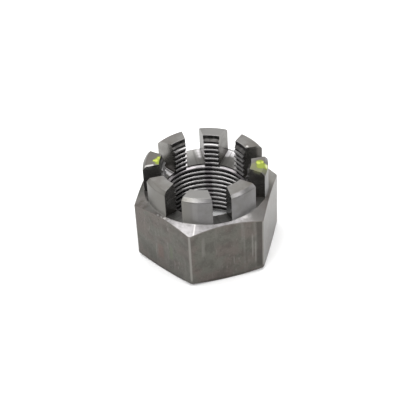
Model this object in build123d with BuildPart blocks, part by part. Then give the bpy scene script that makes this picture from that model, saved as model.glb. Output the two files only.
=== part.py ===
from build123d import *
import math
import os

# Castle nut for a hub or axle: a hexagon with a turned collar that is cut into eight fingers.
# Origin on the thread's axis in the seat face, +Z towards the fingers, millimetres.

# Thread, left here as a plain bore at its minor diameter
thread_d = 48
thread_pitch = 3

# Countersink at the lower mouth of the bore
mouth_clearance = 1
countersink_angle = 90

# Recess at the upper mouth, with a shallow cone from its foot down to the bore
recess_clearance = 0.3
recess_depth = 2.3
recess_foot_angle = 120

# Hexagon, with the ring that bears on the washer turned inside its flats
across_flats = 70
hexagon_h = 37.5
corner_radius = 2
seat_inset = 1
seat_slope = 15
corner_slope = 27

# Collar that carries the fingers, turned inside the flats
collar_inset = 1.75
collar_h = 15.5
rim_chamfer = 1.8
foot_radius = 0.6

# Slots for the split pin, milled by a disc cutter that is fed down on the axis
slot_count = 8
slot_w = 10
cutter_d = 180
slot_run_out = 0.1
slot_turn = -2.1

# Broken edges on top of the fingers, along the slots
edge_break = 0.35

# Sizes that follow
minor_d = thread_d - 2 * 5 / 8 * thread_pitch * math.sqrt(3) / 2
bore_r = minor_d / 2
mouth_r = thread_d / 2 + mouth_clearance
mouth_depth = (mouth_r - bore_r) / math.tan(math.radians(countersink_angle / 2))
recess_r = thread_d / 2 + recess_clearance
recess_cone_h = (recess_r - bore_r) / math.tan(math.radians(recess_foot_angle / 2))
seat_r = across_flats / 2 - seat_inset
collar_r = across_flats / 2 - collar_inset
height = hexagon_h + collar_h
blank_r = across_flats / math.sqrt(3) + 1
seat_rise = (blank_r - seat_r) * math.tan(math.radians(seat_slope))
corner_drop = (blank_r - collar_r) * math.tan(math.radians(corner_slope))
cutter_r = cutter_d / 2
floor_rise = cutter_r - math.sqrt(cutter_r**2 - collar_r**2)
floor_z = hexagon_h - slot_run_out - floor_rise

with BuildPart() as castle_nut:
    # Hexagon blank, rounded corners on the X axis, as tall as the whole nut
    with BuildSketch() as hexagon:
        RegularPolygon(radius=across_flats / 2, side_count=6, major_radius=False)
        fillet(hexagon.vertices(), radius=corner_radius)
    extrude(amount=height)

    # Everything that the lathe leaves: seat, both mouths of the bore, sloped corners and collar
    with BuildSketch(Plane.XZ) as turned_section:
        with BuildLine():
            Polyline(
                (bore_r, mouth_depth),
                (mouth_r, 0),
                (seat_r, 0),
                (blank_r, seat_rise),
                (blank_r, hexagon_h - corner_drop),
                (collar_r, hexagon_h),
                (collar_r, height - rim_chamfer),
                (collar_r - rim_chamfer, height),
                (recess_r, height),
                (recess_r, height - recess_depth),
                (bore_r, height - recess_depth - recess_cone_h),
                close=True,
            )
        make_face()
        foot = turned_section.vertices().sort_by_distance((collar_r, 0, hexagon_h))[0]
        fillet(foot, radius=foot_radius)
    revolve(axis=Axis.Z, mode=Mode.INTERSECT)

    # Slots: each pass of the disc cutter opens two of them, on opposite sides of the bore
    for turn in range(slot_count // 2):
        pass_angle = slot_turn + turn * 360 / slot_count
        cutter_plane = Plane.XZ.rotated((0, 0, pass_angle))
        with BuildSketch(cutter_plane):
            with Locations((0, floor_z + cutter_r)):
                Circle(cutter_r)
        extrude(amount=slot_w / 2, both=True, mode=Mode.SUBTRACT)

    # The edges that the milling leaves sharp on top of the fingers are broken
    top_face = castle_nut.faces().group_by(Axis.Z)[-1]
    finger_edges = top_face.edges().filter_by(GeomType.LINE)
    chamfer(finger_edges, length=edge_break)

castle_nut.part.label = "castle_nut"

os.makedirs("parts", exist_ok=True)
export_step(castle_nut.part, "parts/castle_nut.step")

print("volume mm3", round(castle_nut.part.volume, 1))
print("bore", round(minor_d, 3), "floor on the axis", round(floor_z, 3), "height", height)
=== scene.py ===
# %% [markdown]
# # A castle nut, from the lathe to the paint mark
#
# This nut holds a hub on its axle. It is one piece of steel: a forged hexagon, a collar turned
# on top of it, eight slots milled through the collar for a split pin, and a thread cut last.
#
# The cells follow the workshop's order. The blank is spun like a lathe part, six planes cut the
# flats, four passes of a disc cutter open the slots, and one long tap cuts the thread.

# %% Load the frame
import math

import bmesh
import bpy
from mathutils import Matrix, Vector


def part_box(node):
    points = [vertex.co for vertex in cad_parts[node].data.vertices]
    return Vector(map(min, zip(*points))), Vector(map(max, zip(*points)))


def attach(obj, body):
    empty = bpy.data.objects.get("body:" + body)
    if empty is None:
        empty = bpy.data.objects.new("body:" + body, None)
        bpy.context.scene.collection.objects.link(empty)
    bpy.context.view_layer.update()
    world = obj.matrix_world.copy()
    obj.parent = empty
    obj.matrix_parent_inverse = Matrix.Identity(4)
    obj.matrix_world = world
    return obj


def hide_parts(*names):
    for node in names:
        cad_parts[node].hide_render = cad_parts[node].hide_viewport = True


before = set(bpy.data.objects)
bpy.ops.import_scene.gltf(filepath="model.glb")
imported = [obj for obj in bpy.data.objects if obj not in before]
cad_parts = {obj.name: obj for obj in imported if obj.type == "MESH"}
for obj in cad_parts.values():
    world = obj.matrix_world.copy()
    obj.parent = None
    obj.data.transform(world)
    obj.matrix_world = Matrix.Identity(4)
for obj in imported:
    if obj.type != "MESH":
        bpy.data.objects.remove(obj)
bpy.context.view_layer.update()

# %% [markdown]
# ## Sizes
#
# All lengths are in millimetres here, as on a drawing, and are turned into metres where a mesh
# is made. The box of the solid nut gives the width across flats and the height, so this model
# and the solid can't drift apart.

# %% Driving sizes
MM = 0.001
low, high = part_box("castle_nut")
across_flats = (high[1] - low[1]) / MM
height = (high[2] - low[2]) / MM

thread_d = 48.0
thread_pitch = 3.0
mouth_r = thread_d / 2 + 1.0
recess_r = thread_d / 2 + 0.3
recess_depth = 2.3
recess_slope = math.tan(math.radians(50))

hexagon_h = 37.5
seat_r = across_flats / 2 - 1.0
seat_slope = math.tan(math.radians(15))
corner_slope = math.tan(math.radians(27))
collar_r = across_flats / 2 - 1.75
rim_chamfer = 1.8
foot_radius = 0.6

slot_count = 8
slot_w = 10.0
slot_turn = math.radians(-2.1)
cutter_r = 90.0
slot_run_out = 0.1

bar_allowance = 1.0
tapping_allowance = 2.5

# %% Sizes that follow
floor_z = hexagon_h - slot_run_out - (cutter_r - math.sqrt(cutter_r**2 - collar_r**2))
thread_depth = 5 / 8 * thread_pitch * math.sqrt(3) / 2
major_r = thread_d / 2
minor_r = major_r - thread_depth
blank_r = across_flats / math.sqrt(3) + bar_allowance
drill_r = minor_r - tapping_allowance
print("across flats", round(across_flats, 3), "height", round(height, 3))
print("minor radius", round(minor_r, 3), "lowest point of a slot's floor", round(floor_z, 3))

# %% [markdown]
# ## Camera
#
# The photograph looks down on the nut from the front left at about 39 degrees, from a little
# over half a metre, with a long lens and a slight tilt of the picture. The view was worked out
# from the hexagon's corners, the slots and the crests of the thread.

# %% Place the camera
camera_azimuth = math.radians(-15.22)
camera_elevation = math.radians(38.53)
camera_roll = math.radians(-2.88)
camera_distance = 600.0
aim_height = 24.4
lens_mm = 94.65
sensor_mm = 36.0
shift_right = 0.0065
shift_up = -0.0143

back = Vector((
    math.sin(camera_azimuth) * math.cos(camera_elevation),
    -math.cos(camera_azimuth) * math.cos(camera_elevation),
    math.sin(camera_elevation),
))
flat_right = Vector((math.cos(camera_azimuth), math.sin(camera_azimuth), 0))
flat_up = back.cross(flat_right)
right = flat_right * math.cos(camera_roll) + flat_up * math.sin(camera_roll)
up = back.cross(right)

camera_data = bpy.data.cameras.new("camera")
camera_data.lens = lens_mm
camera_data.sensor_width = sensor_mm
camera_data.shift_x = shift_right
camera_data.shift_y = shift_up
camera = bpy.data.objects.new("camera", camera_data)
bpy.context.scene.collection.objects.link(camera)
camera.matrix_world = Matrix.Translation(
    (Vector((0, 0, aim_height)) + back * camera_distance) * MM
) @ Matrix((right, up, back)).transposed().to_4x4()
bpy.context.scene.camera = camera
print("camera at", [round(c, 4) for c in camera.matrix_world.translation])

# %% [markdown]
# ## The turned blank
#
# A lathe part is a flat outline turned about an axis, and `spin` does just that. The outline's
# corners are rounded first, while they are only points on a wire: a real turning tool leaves a
# small radius there, and it catches the light as a thin bright line.
#
# The bore is drilled too small on purpose. The tap that comes later takes it to size.

# %% Draw the outline
finish_names = ("forged", "cone", "collar", "recess", "milled", "thread", "edge")
finish_index = {name: index for index, name in enumerate(finish_names)}


def metres(*point):
    return Vector(point) * MM


def ring_outline(bm):
    """The half section of the blank, as a closed wire in the XZ plane."""
    ledge_z = height - recess_depth
    corners = {
        "mouth's depth": (drill_r, mouth_r - drill_r),
        "mouth": (mouth_r, 0),
        "seat": (seat_r, 0),
        "lower slope": (blank_r, (blank_r - seat_r) * seat_slope),
        "upper slope": (blank_r, hexagon_h - (blank_r - collar_r) * corner_slope),
        "collar's foot": (collar_r, hexagon_h),
        "rim": (collar_r, height - rim_chamfer),
        "top": (collar_r - rim_chamfer, height),
        "recess": (recess_r, height),
        "recess's foot": (recess_r, ledge_z),
        "bore": (drill_r, ledge_z - (recess_r - drill_r) * recess_slope),
    }
    points = {name: bm.verts.new(metres(r, 0, z)) for name, (r, z) in corners.items()}
    ring = list(points.values())
    for start, end in zip(ring, ring[1:] + ring[:1]):
        bm.edges.new((start, end))
    return points


# %% Soften its corners and spin it
steps_around = 144
fillet_steps = 3
outline_fillet = 0.3
softened = ("mouth", "seat", "rim", "top", "recess")


def soften(bm, points, radius):
    bmesh.ops.bevel(
        bm, geom=points, offset=radius * MM, offset_type="OFFSET", affect="VERTICES",
        segments=fillet_steps, profile=0.5, material=-1,
    )


def turned_blank():
    bm = bmesh.new()
    points = ring_outline(bm)
    soften(bm, [points["collar's foot"]], foot_radius)
    soften(bm, [points[name] for name in softened], outline_fillet)
    bmesh.ops.rotate(bm, verts=bm.verts[:], cent=(0, 0, 0), matrix=Matrix.Rotation(slot_turn, 3, "Z"))
    bmesh.ops.spin(
        bm, geom=bm.verts[:] + bm.edges[:], cent=(0, 0, 0), axis=(0, 0, 1),
        angle=math.tau, steps=steps_around, use_merge=True,
    )
    bmesh.ops.recalc_face_normals(bm, faces=bm.faces[:])
    return bm


def lathe_finish(middle):
    """The finish of a turned face, from the place of its middle in millimetres."""
    from_axis = math.hypot(middle.x, middle.y)
    if middle.z < hexagon_h:
        return "cone"
    if from_axis < recess_r + outline_fillet / 2 and middle.z < height - outline_fillet / 2:
        return "recess"
    return "collar"


blank = turned_blank()
for face in blank.faces:
    face.material_index = finish_index[lathe_finish(face.calc_center_median() / MM)]
print("turned blank:", len(blank.faces), "faces")

# %% [markdown]
# ## Six flats
#
# The hexagon is what is left of the round blank after six straight cuts. `bisect_plane` makes a
# cut, throws the outside away and leaves an open rim, and one filled face closes it. The sloping
# ends of the blank then meet the flats in the curved edges that every hexagon nut has.
#
# Forging never fills a corner sharply. A round corner is only a few more cuts, each touching the
# corner's own small circle and leaning a little more than the last.

# %% Cut the flats and round their corners
corner_radius = 2.0
corner_cuts = 5
half_corner = math.radians(30)
on_plane = 1e-7


def cut_flat(bm, angle, from_axis):
    normal = Vector((math.cos(angle), math.sin(angle), 0))
    cut = bmesh.ops.bisect_plane(
        bm, geom=bm.verts[:] + bm.edges[:] + bm.faces[:], dist=on_plane,
        plane_co=normal * from_axis * MM, plane_no=normal, clear_outer=True,
    )
    rim = [e for e in cut["geom_cut"] if isinstance(e, bmesh.types.BMEdge)]
    filled = bmesh.ops.contextual_create(bm, geom=rim)
    for face in filled["faces"]:
        face.material_index = finish_index["forged"]


for side in range(6):
    cut_flat(blank, math.radians(60 * side) + half_corner, across_flats / 2)
corner_centre = (across_flats / 2 - corner_radius) / math.cos(half_corner)
for corner in range(6):
    for cut in range(corner_cuts):
        lean = half_corner * (2 * (cut + 1) / (corner_cuts + 1) - 1)
        reach = corner_centre * math.cos(lean) + corner_radius
        cut_flat(blank, math.radians(60 * corner) + lean, reach)
bmesh.ops.recalc_face_normals(blank, faces=blank.faces[:])
flats = [f for f in blank.faces if f.material_index == finish_index["forged"]]
open_edges = sum(not e.is_manifold for e in blank.edges)
print("flats and corner cuts:", len(flats), "open edges:", open_edges)

# %% [markdown]
# ## Slots for the split pin
#
# The slots could be boxes, but their floors would then be flat. On the real nut a disc cutter is
# fed straight down on the axis, so each floor is an arc of the cutter, lowest at the bore. A disc
# from `create_cone` and a Boolean modifier repeat that cut, once for each opposite pair of slots.
#
# Every new face takes the material of the tool that cut it, so the finish of each surface is
# settled while the shape is made, and no face has to be picked by hand afterwards.

# %% A helper for every cutting tool
finishes = {name: bpy.data.materials.new(name) for name in finish_names}


def mesh_object(name, bm):
    mesh = bpy.data.meshes.new(name)
    bm.to_mesh(mesh)
    bm.free()
    for finish in finishes.values():
        mesh.materials.append(finish)
    thing = bpy.data.objects.new(name, mesh)
    bpy.context.scene.collection.objects.link(thing)
    return thing


def cut_away(part, tool):
    """Cuts the tool out of the part, keeps the result and throws the tool away."""
    cut = part.modifiers.new("cut", "BOOLEAN")
    cut.operation = "DIFFERENCE"
    cut.solver = "MANIFOLD"
    cut.material_mode = "INDEX"
    cut.object = tool
    depsgraph = bpy.context.evaluated_depsgraph_get()
    result = bpy.data.meshes.new_from_object(part.evaluated_get(depsgraph))
    part.modifiers.clear()
    part.data, worn_out = result, part.data
    bpy.data.meshes.remove(worn_out)
    bpy.data.meshes.remove(tool.data)


nut = mesh_object("castle_nut_finished", blank)
print(nut.name, "has", len(nut.data.materials), "finishes")

# %% Mill the slots
cutter_steps = 360


def disc_cutter(direction):
    bm = bmesh.new()
    lie = Matrix.Rotation(direction, 4, "Z") @ Matrix.Rotation(math.pi / 2, 4, "X")
    place = Matrix.Translation(metres(0, 0, floor_z + cutter_r)) @ lie
    bmesh.ops.create_cone(
        bm, cap_ends=True, segments=cutter_steps, radius1=cutter_r * MM, radius2=cutter_r * MM,
        depth=slot_w * MM, matrix=place,
    )
    for face in bm.faces:
        face.material_index = finish_index["milled"]
    return mesh_object("disc_cutter", bm)


for turn in range(slot_count // 2):
    cut_away(nut, disc_cutter(slot_turn + turn * math.tau / slot_count))
print("with slots:", len(nut.data.polygons), "faces")

# %% [markdown]
# ## Broken edges
#
# A milled edge is sharp enough to cut a hand, so it is broken with a file or a tumbler. A Bevel
# modifier would treat all edges alike. The bevel operator takes only the edges it is given, each
# group with its own width, and the new narrow faces can be given a finish of their own. It goes
# on now, before the thread, so that it can't disturb the fine crests later.
#
# The Boolean leaves splinters of flat faces behind. They are merged first, because a bevel can
# only run cleanly along an edge that isn't cut into pieces.

# %% Helpers for edges
bevel_steps = 2


def finishes_beside(edge):
    return [face.material_index for face in edge.link_faces]


def break_edges(bm, chosen, width):
    broken = bmesh.ops.bevel(
        bm, geom=chosen, offset=width * MM, offset_type="OFFSET", affect="EDGES",
        segments=bevel_steps, profile=0.5, clamp_overlap=True, material=-1,
    )
    for face in broken["faces"]:
        face.material_index = finish_index["edge"]


def radius_of(edge):
    middle = (edge.verts[0].co + edge.verts[1].co) / 2
    return math.hypot(middle.x, middle.y) / MM


# %% Bevel the slots and the hexagon
edge_break = 0.3
lower_edge_break = 0.5
merge_within = 0.004
flat_within = math.radians(0.3)
turning_from = math.radians(13)


def break_all(part):
    bm = bmesh.new()
    bm.from_mesh(part.data)
    bmesh.ops.remove_doubles(bm, verts=bm.verts[:], dist=merge_within * MM)
    # The flat seat is a ring, and one face can't be a ring, so its faces are left as they are
    above_seat = [e for e in bm.edges if max(v.co.z for v in e.verts) > merge_within * MM]
    bmesh.ops.dissolve_limit(
        bm, angle_limit=flat_within, verts=bm.verts[:], edges=above_seat, delimit={"MATERIAL"},
    )
    milled, forged = finish_index["milled"], finish_index["forged"]
    slot_edges = [
        e for e in bm.edges
        if finishes_beside(e).count(milled) == 1 and radius_of(e) > recess_r + outline_fillet
    ]
    break_edges(bm, slot_edges, edge_break)
    curved_edges = [
        e for e in bm.edges
        if finishes_beside(e).count(forged) == 1 and e.calc_face_angle(0) > turning_from
    ]
    upper_edges = [e for e in curved_edges if e.verts[0].co.z > hexagon_h / 2 * MM]
    lower_edges = [e for e in curved_edges if e.verts[0].co.z < hexagon_h / 2 * MM]
    break_edges(bm, upper_edges, edge_break)
    break_edges(bm, lower_edges, lower_edge_break)
    print("broken:", len(slot_edges), "slot edges,", len(upper_edges), "above,", len(lower_edges), "below")
    bm.to_mesh(part.data)
    bm.free()


break_all(nut)
print("with broken edges:", len(nut.data.polygons), "faces")

# %% [markdown]
# ## The thread
#
# A thread is a zigzag outline that rises as it turns. `spin` can lift its copies by a little at
# each step, so one full turn that rises by one pitch makes the whole tap, because each tooth
# ends where the next one began. Cutting with this tap leaves true flanks, and also the half
# turns that run out in the slots, the recess and the countersink.

# %% Outline of the tap's teeth
crest_at_zero = 1.75
turns_beyond = 2
half_crest = thread_pitch / 8
half_root = thread_pitch / 16
teeth = math.ceil(height / thread_pitch) + 2 * turns_beyond


def teeth_outline():
    """The zigzag of all teeth, as pairs of radius and height."""
    first = crest_at_zero - turns_beyond * thread_pitch
    outline = []
    for tooth in range(teeth):
        crest = first + tooth * thread_pitch
        root = crest + thread_pitch / 2
        outline += [(minor_r, crest - half_crest), (minor_r, crest + half_crest)]
        outline += [(major_r, root - half_root), (major_r, root + half_root)]
    outline.append((minor_r, first + teeth * thread_pitch - half_crest))
    return outline


print("the tap has", teeth, "teeth, and its outline", len(teeth_outline()), "points")

# %% Make the tap
seam_within = 0.001


def close_ends(bm):
    """Draws both open ends of the screw out to a tip on the axis."""
    open_rim = [e for e in bm.edges if e.is_boundary]
    middle = sum((v.co.z for v in bm.verts)) / len(bm.verts)
    for side in (-1, 1):
        rim = [e for e in open_rim if (e.verts[0].co.z - middle) * side > 0]
        end_z = middle + side * (teeth / 2 + 1) * thread_pitch * MM
        closing = bmesh.ops.extrude_edge_only(bm, edges=rim)
        tip = [g for g in closing["geom"] if isinstance(g, bmesh.types.BMVert)]
        bmesh.ops.pointmerge(bm, verts=tip, merge_co=(0, 0, end_z))


def tap():
    """A closed screw whose teeth reach the thread's major radius, longer than the nut."""
    bm = bmesh.new()
    points = [bm.verts.new(metres(r, 0, z)) for r, z in teeth_outline()]
    for start, end in zip(points, points[1:]):
        bm.edges.new((start, end))
    bmesh.ops.spin(
        bm, geom=bm.verts[:] + bm.edges[:], cent=(0, 0, 0), axis=(0, 0, 1), angle=math.tau,
        dvec=metres(0, 0, thread_pitch / steps_around), steps=steps_around,
    )
    bmesh.ops.remove_doubles(bm, verts=bm.verts[:], dist=seam_within * MM)
    close_ends(bm)
    bmesh.ops.recalc_face_normals(bm, faces=bm.faces[:])
    for face in bm.faces:
        face.material_index = finish_index["thread"]
    print("open edges of the tap:", sum(not e.is_manifold for e in bm.edges))
    return mesh_object("tap", bm)


# %% Cut the thread
cut_away(nut, tap())
print("with the thread:", len(nut.data.polygons), "faces")

# %% [markdown] ## Smooth shading  Round surfaces need smooth shading and flat ones don't, and a
# bevel must not bend the light on the flat beside it. Edges over 28 degrees stay sharp, and
# Weighted Normal gives the large faces the say over the small ones.

# %% Smooth the round surfaces
sharp_from = math.radians(28)
nut.data.shade_smooth()
nut.data.set_sharp_from_angle(angle=sharp_from)
weighted = nut.modifiers.new("weighted normals", "WEIGHTED_NORMAL")
weighted.keep_sharp = True
weighted.weight = 80

check = bmesh.new()
check.from_mesh(nut.data)
print("open edges:", sum(not e.is_manifold for e in check.edges))
print("volume, mm3:", round(check.calc_volume() / MM**3))
check.free()

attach(nut, "root")
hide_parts("castle_nut")

# %% [markdown]
# ## Wires that can be added and multiplied
#
# A steel finish is mostly arithmetic on the place of a point: how far from the axis, how high,
# how near a slot. Written as nodes that is hard to read, so a small class wraps one output
# socket. Adding or multiplying two wires adds the Math node for it, and `node` adds any other.

# %% A small class for sockets
class Wire:
    """One output of a shader node, for use in sums and products."""

    def __init__(self, socket):
        self.socket = socket

    def output(self, name):
        return Wire(self.socket.node.outputs[name])

    def node(self, kind, settings, inputs, output=0):
        """Adds a node: first its settings, then a value or a wire for each named input."""
        tree = self.socket.id_data
        made = tree.nodes.new(kind)
        for name, value in settings.items():
            setattr(made, name, value)
        for name, value in inputs.items():
            if isinstance(value, Wire):
                tree.links.new(value.socket, made.inputs[name])
            else:
                made.inputs[name].default_value = value
        return Wire(made.outputs[output]) if made.outputs else None

    def maths(self, operation, *values):
        return self.node("ShaderNodeMath", {"operation": operation}, dict(enumerate((self, *values))))

    def __add__(self, other):
        return self.maths("ADD", other)

    def __mul__(self, other):
        return self.maths("MULTIPLY", other)

    def __sub__(self, other):
        return self.maths("SUBTRACT", other)

    def __rsub__(self, other):
        return self * -1 + other

    __radd__ = __add__
    __rmul__ = __mul__


# %% Helpers that all finishes share
def blend(share, first, second):
    """A colour between two colours; 0, 6, 7 and output 2 are the Mix node's sockets for colours."""
    return share.node(
        "ShaderNodeMix", {"data_type": "RGBA"}, {0: share, 6: first, 7: second}, output=2,
    )


def rise(value, low, high):
    """0 below low, 1 above high and a smooth step between; high may be the smaller one."""
    return value.node(
        "ShaderNodeMapRange", {"interpolation_type": "SMOOTHSTEP"},
        {"Value": value, "From Min": low, "From Max": high},
    )


def join(x, y, z):
    return x.node("ShaderNodeCombineXYZ", {}, {"X": x, "Y": y, "Z": z})


def noise(place, per_mm, detail, roughness, seed):
    """Cloudy values around 0.5; another seed gives another cloud."""
    return place.node(
        "ShaderNodeTexNoise", {"noise_dimensions": "4D"},
        {"Vector": place, "W": seed, "Scale": per_mm, "Detail": detail, "Roughness": roughness},
    )


# %% [markdown]
# ## Where a point lies on the nut
#
# Every tool mark on this nut follows the axis or a slot. Object coordinates give the place of a
# point, and from it come its height and its distance from the axis. A pattern that should run
# in rings is drawn in a space where the distance from the axis counts in full and the way round
# counts for little, so that it is stretched into rings and meets itself without a seam.

# %% Places in millimetres
def places(finish):
    """The coordinates that the finishes need, as wires in millimetres."""
    finish.use_nodes = True
    tree = finish.node_tree
    tree.nodes.clear()
    metre_place = Wire(tree.nodes.new("ShaderNodeTexCoord").outputs["Object"])
    place = metre_place.node(
        "ShaderNodeVectorMath", {"operation": "SCALE"}, {"Vector": metre_place, "Scale": 1 / MM},
    )
    x = place.node("ShaderNodeSeparateXYZ", {}, {"Vector": place}, output="X")
    y = x.output("Y")
    z = x.output("Z")
    return {"place": place, "x": x, "y": y, "z": z, "radius": (x * x + y * y).maths("SQRT")}


way_round = 0.04


def ring_space(at):
    return join(at["radius"] + at["z"], at["x"] * way_round, at["y"] * way_round)


def beside_plane(at, direction):
    """The distance from the upright plane through the axis that runs in a direction."""
    return (at["x"] * math.sin(direction) - at["y"] * math.cos(direction)).maths("ABSOLUTE")


# %% [markdown]
# ## The steel that all finishes share
#
# Each finish works out a colour, a roughness and a relief, and this helper closes it with one
# shader. The relief is a height in millimetres, and a Bump node turns it into tilted light, which
# is enough for marks too shallow to show in the outline. What is the same all over a finish, such
# as the grain that runs round the axis, is set on the shader's own socket.

# %% The metal shader
grain_turn = 0.25
sheen_level = 0.25


def steel(finish, colour, roughness, relief, metallic=1.0, anisotropic=0.0, glancing=1.0):
    """Closes a finish: a metal shader with relief in millimetres; glancing dims grazing views."""
    normal = relief.node(
        "ShaderNodeBump", {}, {"Height": relief, "Distance": MM, "Strength": 1.0}, output="Normal",
    )
    shader = relief.node("ShaderNodeBsdfPrincipled", {}, {
        "Base Color": colour, "Metallic": metallic, "Roughness": roughness, "Normal": normal,
        "Anisotropic": anisotropic, "Anisotropic Rotation": grain_turn,
        "Specular IOR Level": sheen_level, "Specular Tint": (glancing, glancing, glancing, 1),
    })
    shader.node("ShaderNodeOutputMaterial", {}, {"Surface": shader})
    print(finish.name, "has", len(finish.node_tree.nodes), "nodes")


# %% [markdown]
# ## Forged flats
#
# The flats are as the forge and the descaling left them: dull, and cloudy in grey, brown and a
# little green, with small pits and a few upright scratches. Each of these is a noise of its own
# size, and the upright ones are drawn in a space where height counts for little. The foot is
# painted darker, as shade where the nut stands on the paper. Only the upright corners, which rub on
# everything that the nut lies beside, are worn brighter.
#
# A noise puts its clouds anywhere. A stain or a scrape that belongs in one place is laid on
# instead: a soft round mark, seen from above, that begins and ends at a given height.

# %% Colours and single marks
forged_green = (0.103, 0.101, 0.089, 1)
forged_brown = (0.109, 0.096, 0.087, 1)
forged_dark = (0.048, 0.044, 0.040, 1)
forged_light = (0.21, 0.203, 0.188, 1)
stain_red = (0.125, 0.088, 0.078, 1)
stain_green = (0.105, 0.115, 0.085, 1)

# Single marks: colour, share, place from above, reach, and how high they begin and end
skin_marks = (
    (stain_red, 0.6, -31.2, -16.0, 3.0, 9, 17),
    (stain_green, 0.8, -27.2, -23.0, 1.5, 12, 20),
    (forged_dark, 0.6, 18.0, -35.0, 2.4, 4, 35),
    (forged_light, 0.45, 14.0, -35.0, 0.6, 12, 26),
    (forged_light, 0.40, 15.6, -35.0, 0.6, 8, 21),
    (forged_light, 0.20, -12.8, -35.0, 1.2, 20, 31),
)


def laid_on(at, colour, tint, share, x, y, reach, low, high):
    """Lays one soft upright mark over a colour."""
    dx = at["x"] - x
    dy = at["y"] - y
    beside = rise((dx * dx + dy * dy).maths("SQRT"), reach, reach * 0.4)
    level = rise(at["z"], low - 2.0, low + 1.0) * rise(at["z"], high + 2.0, high - 1.0)
    return blend(beside * level * share, colour, tint)


print(len(skin_marks), "single marks on the flats")

# %% Forged skin
corner_r = corner_centre + corner_radius
squeezed_height = 0.12


def forged_skin(at):
    """Colour, roughness and relief of the skin that the forge leaves, with painted shade at the foot."""
    hue = noise(at["place"], 0.10, 3, 0.55, seed=1)
    cloud = noise(at["place"], 0.17, 4, 0.6, seed=2)
    pits = noise(at["place"], 1.0, 4, 0.7, seed=3)
    upright = join(at["x"], at["y"], at["z"] * squeezed_height)
    streaks = noise(upright, 0.30, 3, 0.6, seed=4)
    scratches = noise(upright, 1.9, 1, 0.5, seed=5)
    scratched = rise(noise(at["place"], 0.10, 1, 0.5, seed=6), 0.50, 0.62)
    colour = blend(rise(hue, 0.40, 0.58), forged_green, forged_brown)
    colour = blend(rise(cloud, 0.58, 0.36) * 0.4, colour, forged_dark)
    colour = blend(rise(pits, 0.45, 0.28) * 0.9, colour, forged_dark)
    colour = blend(rise(pits, 0.56, 0.72) * 0.5, colour, forged_light)
    colour = blend(rise(streaks, 0.52, 0.72) * 0.22, colour, forged_light)
    colour = blend(rise(scratches, 0.62, 0.72) * scratched * 0.6, colour, forged_light)
    # Painted shade: the flats darken towards the foot, where the nut stands on the paper.
    on_foot = rise(at["z"] + streaks, 3.4, 1.4)
    colour = blend(on_foot * 0.6, colour, forged_dark)
    for mark in skin_marks:
        colour = laid_on(at, colour, *mark)
    worn = rise(at["radius"] + streaks * 0.1, corner_r - 0.10, corner_r + 0.05)
    colour = blend(worn * rise(at["z"], 3.0, 4.6) * 0.85, colour, forged_light)
    roughness = 0.24 + 0.16 * cloud
    relief = pits * 0.06 + cloud * 0.12
    return colour, roughness, relief


steel(finishes["forged"], *forged_skin(places(finishes["forged"])))
print("corner radius", round(corner_r, 2))

# %% [markdown]
# ## The sloped corners
#
# The lathe cut the corners' slope after forging, but the forging wasn't quite central. On one
# side the tool bit through to bright metal with fine rings in it, and on the other it hardly
# touched the skin, so there the slope is only rubbed here and there. Where it is bare depends on
# the direction from the axis, and noise frays the border. Rings reflect a lamp as a streak across
# them, which Anisotropic gives.
#
# A few knocks have left brighter chips, and a bright radial line down the front of the slope is a
# painted highlight. The countersink below is dark like the flats' foot.

# %% Turned slopes and the seat
bare_light = (0.285, 0.275, 0.277, 1)
bare_dull = (0.200, 0.193, 0.192, 1)
# White of the chips, and also of the painted highlight line down the front of the slope.
chip_and_highlight_white = (0.58, 0.565, 0.55, 1)
bare_rubbed = (0.165, 0.160, 0.156, 1)
bare_way = math.radians(-108)
highlight_line_way = math.radians(-117)

# Chips: share, place from above and reach
slope_chips = (
    (0.45, 10.8, -31.0, 2.8),
    (0.35, -31.2, -15.2, 0.8),
    (0.3, -30.1, -17.6, 1.0),
    (0.45, -28.6, -19.2, 1.1),
)
slope_low = 30
slope_high = 40


def turn_cone(finish):
    at = places(finish)
    skin, skin_roughness, skin_relief = forged_skin(at)
    ragged = noise(at["place"], 0.28, 4, 0.65, seed=7)
    toward_bare_side = at["x"] * math.cos(bare_way) + at["y"] * math.sin(bare_way)
    bare_share = toward_bare_side.maths("DIVIDE", at["radius"])
    bared_above = rise(bare_share + ragged * 0.35, 0.91, 1.03)
    below = rise(at["z"], 12.0, 8.0)
    bared = bared_above.maths("MAXIMUM", below)
    rings = noise(ring_space(at), 1.3, 3, 0.6, seed=8)
    across = noise(join(at["x"], at["y"], 0.0), 0.35, 2, 0.6, seed=19)
    bare = blend(rise(rings * 0.5 + across * 0.5, 0.40, 0.60), bare_dull, bare_light)
    rubbed_right = rise(bare_share, 0.40, 0.62) * rise(at["x"], 4.0, 9.0)
    rubbed_in_patches = rise(bare_share, -0.1, 0.35) * rise(across, 0.30, 0.60) * 0.6
    rubbed = rubbed_right.maths("MAXIMUM", rubbed_in_patches)
    colour = blend(bared, blend(rubbed * 0.75, skin, bare_rubbed), bare)
    for share, x, y, reach in slope_chips:
        colour = laid_on(at, colour, chip_and_highlight_white, share, x, y, reach, slope_low, slope_high)
    # Painted highlight: a bright radial line down the front of the slope.
    painted_highlight_line = rise(beside_plane(at, highlight_line_way) + rings * 0.3, 0.75, 0.25) * rise(bare_share, 0.8, 0.9)
    colour = blend(painted_highlight_line * 0.6, colour, chip_and_highlight_white)
    in_mouth = rise(at["z"], 6.0, 4.0) * rise(at["radius"], mouth_r + 1.0, mouth_r + 0.2)
    colour = blend(in_mouth * 0.8, colour, forged_dark)
    roughness = bared * (0.30 + 0.12 * rings) + (1 - bared) * skin_roughness
    relief = bared * (rings * 0.02) + (1 - bared) * skin_relief
    steel(finish, colour, roughness, relief, anisotropic=0.5)


turn_cone(finishes["cone"])
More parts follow.
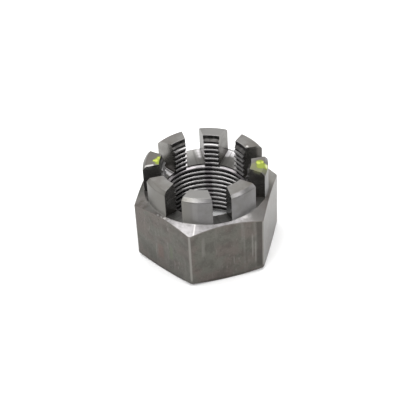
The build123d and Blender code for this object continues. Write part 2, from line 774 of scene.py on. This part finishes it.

# %% [markdown]
# ## Marking paint
#
# An inspector dabbed yellow-green paint on two opposite fingers. A dab is a few round blots that
# run together, so the mask is the largest of their reaches, frayed by noise. Paint is brightest
# where it is thick and darker at its thin rim, and the end of the right dab has dried pale. A thin
# olive film lies round that dab, and a few white marks beside both, along the slots' edges, are
# painted highlights.
#
# Paint isn't metal, so the same masks also lower Metallic and raise the surface a little.

# %% Paint masks
# Blots: place from above and reach
left_blots = ((-23.3, 9.7, 2.1), (-22.2, 11.9, 1.3), (-24.9, 10.2, 1.3), (-24.1, 7.6, 1.4))
right_blots = ((26.8, -10.5, 2.3), (26.3, -13.5, 2.5), (28.3, -14.0, 2.3), (30.6, -14.4, 2.1))
film_blots = ((22.2, -12.6, 2.2), (24.2, -16.0, 2.8), (27.4, -17.2, 2.2), (23.8, -11.2, 1.4))
bright_blots = ((25.9, -10.6, 1.4), (28.3, -10.9, 1.0), (-24.4, 10.1, 1.5), (-22.4, 11.4, 1.1))
pale_blots = ((30.2, -14.2, 1.8), (31.4, -15.0, 1.8))
# White marks along the slots' edges are painted highlights: place from above and reach
edge_highlight_blots = (
    (-30.6, 6.8, 0.8), (-29.4, 6.7, 0.9), (-28.2, 6.6, 0.9), (-27.1, 6.6, 0.7), (25.2, 5.4, 0.7),
)
paint_bright = (0.40, 0.465, 0.062, 1)
paint_thin = (0.19, 0.24, 0.022, 1)
paint_pale = (0.50, 0.53, 0.26, 1)
paint_rim = (0.15, 0.17, 0.036, 1)
film_olive = (0.175, 0.182, 0.090, 1)
edge_highlight_white = (0.60, 0.585, 0.565, 1)
paint_roughness = 0.42
paint_thickness = 0.08


def inside(at, blots):
    """How far a point lies inside the nearest blot, in millimetres, seen from above."""
    deepest = None
    for x, y, reach in blots:
        dx = at["x"] - x
        dy = at["y"] - y
        depth = reach - (dx * dx + dy * dy).maths("SQRT")
        deepest = depth if deepest is None else deepest.maths("MAXIMUM", depth)
    return deepest


print(len(left_blots), "blots of paint on the left finger,", len(right_blots), "on the right")


# %% Lay the paint over a finish
def paint_over(at, colour, roughness, relief):
    """Lays the dabs over a finish and gives what the metal shader needs."""
    fray = (noise(at["place"], 0.9, 2, 0.6, seed=9) - 0.5) * 1.6
    depth = inside(at, left_blots + right_blots) + fray
    on_top = rise(at["z"], height - 2.2, height - 1.2)
    painted = rise(depth, -0.2, 0.25) * on_top * rise(at["radius"], recess_r, recess_r + 0.2)
    film = rise(inside(at, film_blots) + fray, -1.0, 0.8) * rise(at["z"], height - 3.0, height - 0.6)
    # Painted highlights: white marks along the slots' edges beside the dabs.
    edge_highlighted = rise(inside(at, edge_highlight_blots) + fray * 0.4, -0.15, 0.2) * on_top
    paint = blend(rise(inside(at, bright_blots) + fray, -0.3, 0.7), paint_thin, paint_bright)
    paint = blend(rise(depth, 0.0, 0.9), paint_rim, paint)
    paint = blend(rise(inside(at, pale_blots), -0.4, 0.8), paint, paint_pale)
    colour = blend(edge_highlighted * 0.9, colour, edge_highlight_white)
    colour = blend(film * 0.75, colour, film_olive)
    colour = blend(painted, colour, paint)
    roughness = roughness * (1 - painted) + paint_roughness * painted
    relief = relief + painted * paint_thickness
    return colour, roughness, relief, 1 - painted.maths("MAXIMUM", film * 0.4)


# %% [markdown]
# ## Collar and top faces
#
# Turning leaves the collar smooth, with rings too fine to see and a soft upright streak where
# they catch a lamp. Its left side is a little browner, and a lighter upright streak on the front
# finger is a painted highlight. The top faces are paler, palest at the lip of the recess, where a
# painted highlight runs, and handling has stained them, most of all on the two painted fingers. So
# the stain grows with the distance from the plane through the axis and the fingers between those
# two, and mottling only frays it.

# %% Turned collar
collar_grey = (0.170, 0.166, 0.167, 1)
collar_dark = (0.142, 0.139, 0.134, 1)
collar_warm = (0.156, 0.151, 0.137, 1)
top_grey = (0.220, 0.216, 0.208, 1)
top_stain = (0.108, 0.097, 0.083, 1)
# A painted highlight: a lighter upright band on the front finger's collar.
front_highlight_band = (bare_light, 0.22, -14.8, -29.8, 2.0, 40, 51)
clean_way = math.radians(65.4)


def turn_collar(finish):
    at = places(finish)
    rings = noise(ring_space(at), 2.0, 2, 0.6, seed=10)
    mottle = noise(at["place"], 0.20, 4, 0.6, seed=11)
    nicks = noise(at["place"], 1.1, 2, 0.7, seed=12)
    on_top = rise(at["z"], height - 0.3, height - 0.05)
    stained = rise(beside_plane(at, clean_way) + (mottle - 0.5) * 40, 4.0, 34.0) * 0.75
    colour = blend(rise(mottle, 0.36, 0.64), collar_dark, collar_grey)
    colour = blend(rise(at["x"], -12.0, -20.0) * 0.8, colour, collar_warm)
    colour = blend(on_top, colour, blend(stained, top_grey, top_stain))
    # Painted highlight: the lighter upright band on the front finger's collar.
    colour = laid_on(at, colour, *front_highlight_band)
    colour = blend(rise(nicks, 0.70, 0.76) * 0.5, colour, bare_light)
    # Painted highlight: a pale line along the lip of the recess.
    lip_highlight = rise(at["radius"] + nicks * 0.8, recess_r + 1.1, recess_r + 0.5) * on_top
    colour = blend(lip_highlight * 0.5, colour, bare_light)
    on_rim = rise(at["z"], height - 2.0, height - 1.7) - on_top
    roughness = 0.36 + 0.12 * mottle - 0.09 * on_rim
    relief = rings * 0.008 + nicks * 0.01
    colour, roughness, relief, metallic = paint_over(at, colour, roughness, relief)
    steel(finish, colour, roughness, relief, metallic, anisotropic=0.45)


turn_collar(finishes["collar"])

# %% [markdown]
# ## The recess
#
# The recess was turned before the nut was hardened, and nobody cleaned it since, so scale from
# the furnace still lies on its wall, nearly black. Going down the steep foot, where the screw
# goes in, more and more of it has been rubbed off. The paint reaches in here too, so this finish
# also ends with `paint_over`.

# %% Scale in the recess
scale_black = (0.055, 0.053, 0.051, 1)
scale_grey = (0.115, 0.111, 0.107, 1)
foot_grey = (0.085, 0.082, 0.079, 1)
foot_fade = 1.8


def scale_recess(finish):
    at = places(finish)
    mottle = noise(at["place"], 0.5, 3, 0.6, seed=13)
    on_foot = rise(at["z"], height - recess_depth, height - recess_depth - foot_fade)
    colour = blend(rise(mottle, 0.40, 0.62), scale_black, scale_grey)
    colour = blend(on_foot * rise(mottle, 0.30, 0.50), colour, foot_grey)
    roughness = 0.38 + 0.15 * mottle
    colour, roughness, relief, metallic = paint_over(at, colour, roughness, mottle * 0.03)
    steel(finish, colour, roughness, relief, metallic)


scale_recess(finishes["recess"])

# %% [markdown]
# ## Milled slots
#
# The cutter's teeth draw arcs on the walls, all round the disc's centre, and lines along the
# floors. So the marks are a noise in a space of the distance from that centre and the distance
# across the slot.
#
# The walls darken low down, a painted shade where they meet the floor, and the floors are darker near
# the bore. In three slots pale patches on the floor are painted highlights. Metallic falls there, so
# they catch the lamps like a dull surface, and nothing else of the finish has to change.

# %% Milled walls and floors
milled_light = (0.26, 0.254, 0.241, 1)
milled_dark = (0.19, 0.185, 0.175, 1)
floor_light = (0.31, 0.304, 0.292, 1)
floor_dark = (0.20, 0.195, 0.188, 1)
milled_inner = (0.11, 0.107, 0.102, 1)
# Pale colour of the painted highlights on the slots' floors.
floor_highlight_white = (0.80, 0.78, 0.79, 1)
# Dark colour, also used for the painted shade low on the walls.
wall_dark = (0.050, 0.045, 0.040, 1)
# Painted highlights on the floors: place from above and reach
floor_highlight_blots = (
    (-15.4, 22.2, 2.8), (-13.4, 20.2, 3.2), (23.6, 23.6, 3.4), (20.0, 24.6, 2.4),
    (4.9, 31.8, 1.3), (4.7, 30.2, 1.2), (4.6, 28.6, 1.0),
)
wall_mark = (wall_dark, 0.7, 31.5, 4.4, 4.0, 38, 52)


def mill(finish):
    at = places(finish)
    half_step = math.pi / slot_count
    from_slot = (at["y"].maths("ARCTAN2", at["x"]) - slot_turn).maths("WRAP", half_step, -half_step)
    across_slot = at["radius"] * from_slot.maths("SINE")
    above_centre = at["z"] - (floor_z + cutter_r)
    from_centre = (at["radius"] * at["radius"] + above_centre * above_centre).maths("SQRT")
    marks = noise(join(across_slot, from_centre, at["x"] * 0.03), 1.4, 3, 0.6, seed=14)
    mottle = noise(at["place"], 0.22, 3, 0.6, seed=15)
    on_floor = rise(from_centre, cutter_r - 0.15, cutter_r - 0.05)
    colour = blend(rise(mottle * 0.5 + marks * 0.5, 0.40, 0.60), milled_dark, milled_light)
    above_floor = cutter_r - from_centre
    # Painted shade: the walls darken low down, where they meet the floor.
    colour = blend(rise(above_floor + mottle * 3, 9.0, 2.0) * 0.85, colour, wall_dark)
    floor_colour = blend(rise(marks, 0.30, 0.65), floor_dark, floor_light)
    floor_colour = blend(rise(at["radius"], 31.0, 26.0) * 0.55, floor_colour, milled_inner)
    # Painted highlights: pale, less metallic patches on the floors of three slots.
    floor_highlight = on_floor * rise(inside(at, floor_highlight_blots), -0.8, 1.2) * rise(marks, 0.30, 0.56)
    floor_colour = blend(floor_highlight, floor_colour, floor_highlight_white)
    colour = laid_on(at, colour, *wall_mark)
    colour = blend(on_floor, colour, floor_colour)
    roughness = 0.17 + 0.1 * marks + on_floor * (0.08 + 0.2 * floor_highlight)
    colour, roughness, relief, metallic = paint_over(at, colour, roughness, marks * 0.01)
    strong_left = 0.88 * rise(at["x"], -6.0, -10.0)
    weak_right = 0.35 * rise(at["x"], 10.0, 14.0)
    not_metal = 0.08 + floor_highlight * (strong_left + weak_right)
    steel(finish, colour, roughness, relief, metallic - not_metal, glancing=0.62)


mill(finishes["milled"])

# %% [markdown]
# ## Finish of the thread
#
# The tap burnishes the crests and upper flanks almost to a mirror, and a dark residue of oil and
# scale stays at the root. Bright lines with near black between them are what makes a thread
# look deep. The thread is also darker further down the bore, at the left, and at the very bottom.
#
# The thread is dull in a narrow band on one side and just below the slots' floors, where the
# cutter's chips have rubbed it. The crests scatter a little light, so they are less metallic.

# %% Burnished thread
thread_light = (0.40, 0.392, 0.391, 1)
thread_grey = (0.21, 0.204, 0.203, 1)
thread_dull = (0.15, 0.135, 0.145, 1)
dull_way = math.radians(71)
# Near black of the root's residue, and of the darker thread further down the bore.
thread_black = (0.035, 0.034, 0.033, 1)


def cut_thread(finish):
    at = places(finish)
    mottle = noise(at["place"], 0.35, 3, 0.6, seed=16)
    deep = rise(at["z"], 24.0, 4.0)
    first_row = rise(at["z"], 47.4, 48.0)
    toward_root = at["radius"] + mottle * 0.5 + deep * 0.3 + first_row * 0.45
    residue = rise(toward_root, major_r - 0.45, major_r + 0.1)
    off_dull = beside_plane(at, dull_way)
    colour = blend(rise(off_dull + mottle * 8, 17.0, 9.0), thread_grey, thread_light)
    dulled = rise(off_dull + mottle, 3.6, 1.6) * rise(at["y"], 0.0, 5.0) * rise(at["z"], 39.0, 35.0)
    colour = blend(dulled * 0.8, colour, thread_dull)
    off_finger = beside_plane(at, clean_way)
    below_floor = rise(at["z"], 30.6, 31.6) * rise(at["z"], 35.4, 34.4) * rise(off_finger, 4.0, 6.0)
    colour = blend(below_floor * 0.6, colour, thread_dull)
    # The thread darkens further down the bore, at the left and at the very bottom.
    low_left = rise(at["x"], -4.0, -9.0) * rise(at["z"], 24.0, 18.0)
    colour = blend((deep * 0.5).maths("MAXIMUM", low_left * 0.8), colour, thread_black)
    at_bottom = rise(at["z"], 6.0, 4.4)
    colour = blend(at_bottom * 0.85, colour, thread_black)
    colour = blend(residue, colour, thread_black)
    on_crest = rise(at["radius"], minor_r + 0.30, minor_r + 0.05)
    roughness = 0.13 + 0.08 * mottle + 0.3 * residue
    steel(finish, colour, roughness, mottle * 0.006, 1 - 0.6 * on_crest)


cut_thread(finishes["thread"])

# %% [markdown]
# ## Worn edges
#
# Where a slot's edge has been broken, the metal is worn a little brighter than the faces beside
# it. The hexagon's curved edges were never filed, so they keep the brown of the forged skin, and
# the lower inner edges carry the residue of the thread.

# %% Worn edges
edge_light = (0.31, 0.303, 0.293, 1)
edge_dull = (0.17, 0.166, 0.158, 1)


def wear_edges(finish):
    at = places(finish)
    mottle = noise(at["place"], 0.45, 3, 0.6, seed=17)
    colour = blend(rise(mottle, 0.42, 0.66), edge_dull, edge_light)
    on_hexagon = rise(at["z"], 38.0, 36.5)
    colour = blend(on_hexagon * 0.75, colour, forged_brown)
    near_thread = rise(at["radius"], 25.5, 23.5) * rise(at["z"], 42.0, 40.0)
    colour = blend(near_thread * 0.7, colour, thread_black)
    roughness = 0.3 + 0.15 * mottle
    colour, roughness, relief, metallic = paint_over(at, colour, roughness, mottle * 0.02)
    steel(finish, colour, roughness, relief, metallic)


wear_edges(finishes["edge"])

# %% [markdown]
# ## Floor, light and air
#
# The photograph is a plain studio shot on white paper. Steel shows mostly what it mirrors, so
# the paper matters as much as the lamps. The sloped corners, the slots' floors and the thread
# mirror the lamps overhead, the rims mirror two lamps in front, and the top faces mirror a wide
# one behind. Low lamps on both sides give the collar its soft light.
#
# The brightness that a lamp shows in a mirror is its power divided by its area and by pi. So each
# lamp here is given that brightness, and its power follows from its size.

# %% White paper
paper_size = 8.0
paper_white = 0.90
paper_glow = 0.05
paper = bpy.data.materials.new("white paper")
paper.use_nodes = True
paper_shader = paper.node_tree.nodes["Principled BSDF"]
paper_shader.inputs["Base Color"].default_value = (paper_white, paper_white, paper_white, 1)
paper_shader.inputs["Roughness"].default_value = 1.0
paper_shader.inputs["Specular IOR Level"].default_value = 0.0
paper_shader.inputs["Emission Color"].default_value = (1, 1, 1, 1)
paper_shader.inputs["Emission Strength"].default_value = paper_glow

bm = bmesh.new()
bmesh.ops.create_grid(bm, x_segments=1, y_segments=1, size=paper_size / 2)
floor_mesh = bpy.data.meshes.new("floor")
bm.to_mesh(floor_mesh)
bm.free()
floor_mesh.materials.append(paper)
floor = bpy.data.objects.new("floor", floor_mesh)
bpy.context.scene.collection.objects.link(floor)
print("paper", paper_size, "m wide")

# %% Lamps
lamp_distance = 1.0

# Lamps: width, depth, compass, angle above the floor, brightness
lamps = {
    "ceiling left": (0.70, 0.30, 180, 68, 3.5),
    "ceiling right": (0.35, 0.30, 0, 69, 4.8),
    "ceiling middle": (0.42, 0.42, 0, 90, 2.3),
    "ceiling back left": (0.34, 0.26, 118, 64, 3.0),
    "front left": (0.54, 0.36, -134, 47, 4.2),
    "front left, core": (0.08, 0.30, -133, 50, 8.0),
    "front right": (0.24, 0.28, -46, 43, 7.5),
    "front": (0.60, 0.24, -88, 50, 0.9),
    "behind": (0.90, 0.44, 84, 45, 1.5),
    "behind right": (0.35, 0.35, 33, 52, 2.4),
    "behind right, low": (0.50, 0.26, 48, 12, 2.7),
    "left, low": (1.40, 0.30, 150, 28, 1.9),
    "right, low": (0.60, 0.30, -5, 30, 2.3),
}


def softbox(name, width, depth, compass, rise_angle, radiance):
    """A rectangular lamp aimed at the nut, as bright as given where steel mirrors it."""
    light = bpy.data.lights.new(name, "AREA")
    light.shape = "RECTANGLE"
    light.size = width
    light.size_y = depth
    light.energy = radiance * math.pi * width * depth
    thing = bpy.data.objects.new(name, light)
    compass, rise_angle = math.radians(compass), math.radians(rise_angle)
    level = math.cos(rise_angle)
    toward = Vector((math.cos(compass) * level, math.sin(compass) * level, math.sin(rise_angle)))
    thing.location = toward * lamp_distance
    thing.rotation_euler = toward.to_track_quat("Z", "Y").to_euler()
    thing.visible_camera = False
    bpy.context.scene.collection.objects.link(thing)


for name, lamp in lamps.items():
    softbox(name, *lamp)
print(len(lamps), "lamps,", lamp_distance, "m from the nut")

# %% Air
air_grey = 0.48
air = bpy.data.worlds.new("studio air")
air.use_nodes = True
background = air.node_tree.nodes["Background"]
background.inputs["Color"].default_value = (air_grey, air_grey, air_grey, 1)
background.inputs["Strength"].default_value = 1.0
bpy.context.scene.world = air
bpy.context.scene.view_settings.view_transform = "Standard"
print("grey of the air", air_grey)
